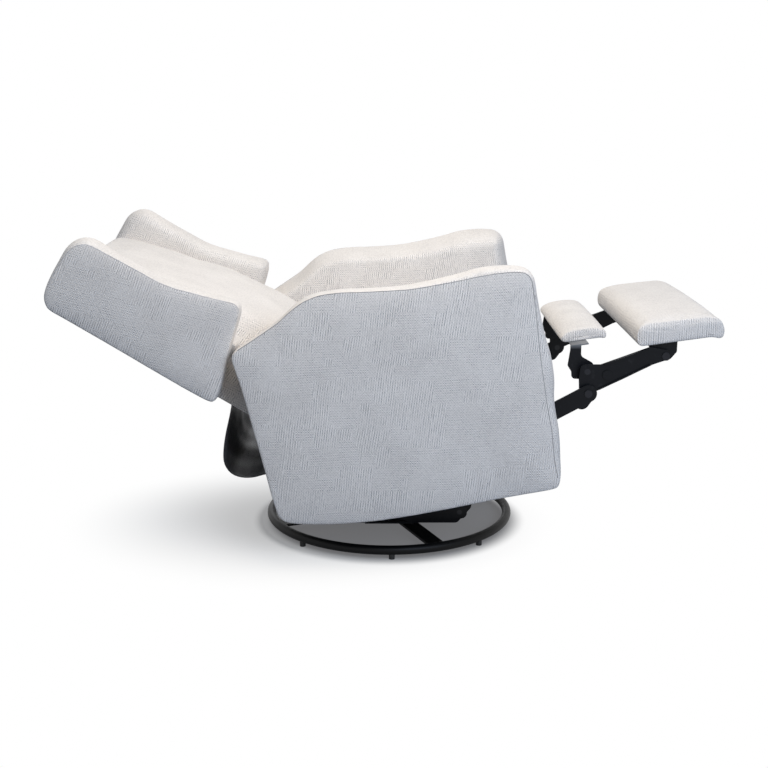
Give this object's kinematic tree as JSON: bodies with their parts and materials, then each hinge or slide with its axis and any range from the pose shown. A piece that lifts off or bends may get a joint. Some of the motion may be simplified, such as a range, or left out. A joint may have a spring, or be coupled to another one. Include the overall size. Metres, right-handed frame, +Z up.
{
  "type": "swivel glider recliner",
  "caption": "Upholstered wingback recliner on a swivelling ring base, with a glide linkage, a reclining back and a fold-out footrest.",
  "frame": {"origin": "on the floor, on the axis of the ring base, which is the middle of the laid-back chair", "axes": "+Z up, -Y towards the footrest, +X towards the sitter's left"},
  "size_m": [0.8, 1.5068, 0.7615],
  "materials": {
    "woven_fabric": "matte woven",
    "black_metal": "satin",
    "steel": "zinc plated",
    "rubber": "matte",
    "nylon": "matte",
    "black_plastic": "satin",
    "wood": "sawn",
    "black_cloth": "slightly glossy"
  },
  "bodies": {
    "base": {"base_ring": "black_metal", "cross_bars": "black_metal", "base_feet": "rubber", "swivel_lower_plate": "black_metal", "swivel_spindle": "steel"},
    "turntable": {"swivel_race": "nylon", "swivel_upper_plate": "black_metal", "glide_bracket_left": "black_metal", "glide_bracket_right": "black_metal", "hanger_upper_pins": "steel"},
    "front_hangers": {"front_hanger_left": "black_metal", "front_hanger_right": "black_metal"},
    "rear_hangers": {"rear_hanger_left": "black_metal", "rear_hanger_right": "black_metal"},
    "chassis": {"chassis_rail_left": "black_metal", "chassis_rail_right": "black_metal", "chassis_tubes": "black_metal", "hanger_lower_pins": "steel", "tilt_shaft": "steel"},
    "seat_body": {"tilt_bracket_left": "black_metal", "tilt_bracket_right": "black_metal", "seat_front_rail": "wood", "seat_rear_rail": "wood", "seat_springs": "steel", "seat_cushion": "woven_fabric", "side_plate_left": "black_metal", "side_plate_right": "black_metal", "side_pins": "steel", "arm_left": "woven_fabric", "arm_right": "woven_fabric", "arm_frame_left": "wood", "arm_frame_right": "wood", "rear_rail": "wood", "rear_cloth": "black_cloth", "lever_plate": "black_metal"},
    "release_lever": {"release_lever": "black_plastic"},
    "back": {"outside_back": "woven_fabric", "back_rails": "wood", "back_stiles": "wood", "back_cushion": "woven_fabric", "wing_left": "woven_fabric", "wing_right": "woven_fabric", "back_bracket_left": "black_metal", "back_bracket_right": "black_metal"},
    "footrest_links": {"lower_link_left": "black_metal", "lower_link_right": "black_metal"},
    "ottoman_links": {"ottoman_link_left": "black_metal", "ottoman_link_right": "black_metal", "knee_pins": "steel", "flip_pins": "steel"},
    "flipper": {"flipper_arm_left": "black_metal", "flipper_arm_right": "black_metal", "flipper_board": "wood", "flipper_pad": "woven_fabric"},
    "ottoman": {"ottoman_bracket_left": "black_metal", "ottoman_bracket_right": "black_metal", "toe_pins": "steel", "ottoman_board": "wood", "ottoman_pad": "woven_fabric"}
  },
  "joints": [
    {"name": "swivel", "type": "hinge", "parent": "base", "child": "turntable", "pos_m": [0, 0, 0.04], "axis": [0, 0, 1], "continuous": true},
    {"name": "glide", "type": "hinge", "parent": "turntable", "child": "front_hangers", "pos_m": [0, -0.17, 0.168], "axis": [1, 0, 0], "range_deg": [-20, 20]},
    {"name": "rear_hang", "type": "hinge", "parent": "turntable", "child": "rear_hangers", "pos_m": [0, 0.17, 0.168], "axis": [1, 0, 0], "range_deg": [-20.5, 20.5]},
    {"name": "chassis_level", "type": "hinge", "parent": "front_hangers", "child": "chassis", "pos_m": [0, -0.17, 0.068], "axis": [1, 0, 0], "range_deg": [-20.5, 20.5]},
    {"name": "body_tilt", "type": "hinge", "parent": "chassis", "child": "seat_body", "pos_m": [0, 0, 0.235], "axis": [1, 0, 0], "range_deg": [0, 10.2]},
    {"name": "recline", "type": "hinge", "parent": "seat_body", "child": "back", "pos_m": [0, 0.19, 0.4], "axis": [1, 0, 0], "range_deg": [0, 36], "deforming": ["rear_cloth"]},
    {"name": "release", "type": "hinge", "parent": "seat_body", "child": "release_lever", "pos_m": [0.268, -0.095, 0.52], "axis": [-1, 0, 0], "range_deg": [0, 25], "stiffness_Nm_per_rad": 0.4},
    {"name": "footrest", "type": "hinge", "parent": "seat_body", "child": "footrest_links", "pos_m": [0, -0.292, 0.3], "axis": [1, 0, 0], "range_deg": [0, 178]},
    {"name": "knee", "type": "hinge", "parent": "footrest_links", "child": "ottoman_links", "pos_m": [0, -0.454, 0.389], "axis": [1, 0, 0], "range_deg": [-196, 0.5]},
    {"name": "ottoman_turn", "type": "hinge", "parent": "ottoman_links", "child": "ottoman", "pos_m": [0, -0.629, 0.475], "axis": [1, 0, 0], "range_deg": [-0.5, 107.5]},
    {"name": "flipper_turn", "type": "hinge", "parent": "ottoman_links", "child": "flipper", "pos_m": [0, -0.452, 0.438], "axis": [1, 0, 0], "range_deg": [-0.5, 54]}
  ],
  "couplings": [
    {"joint": "rear_hang", "follows": "glide", "ratio": 1},
    {"joint": "chassis_level", "follows": "glide", "ratio": -1},
    {"joint": "body_tilt", "follows": "recline", "ratio": 0.27778},
    {"joint": "knee", "follows": "footrest", "ratio": -1.0972},
    {"joint": "ottoman_turn", "follows": "footrest", "ratio": 0.60056},
    {"joint": "flipper_turn", "follows": "footrest", "ratio": 0.30056}
  ]
}
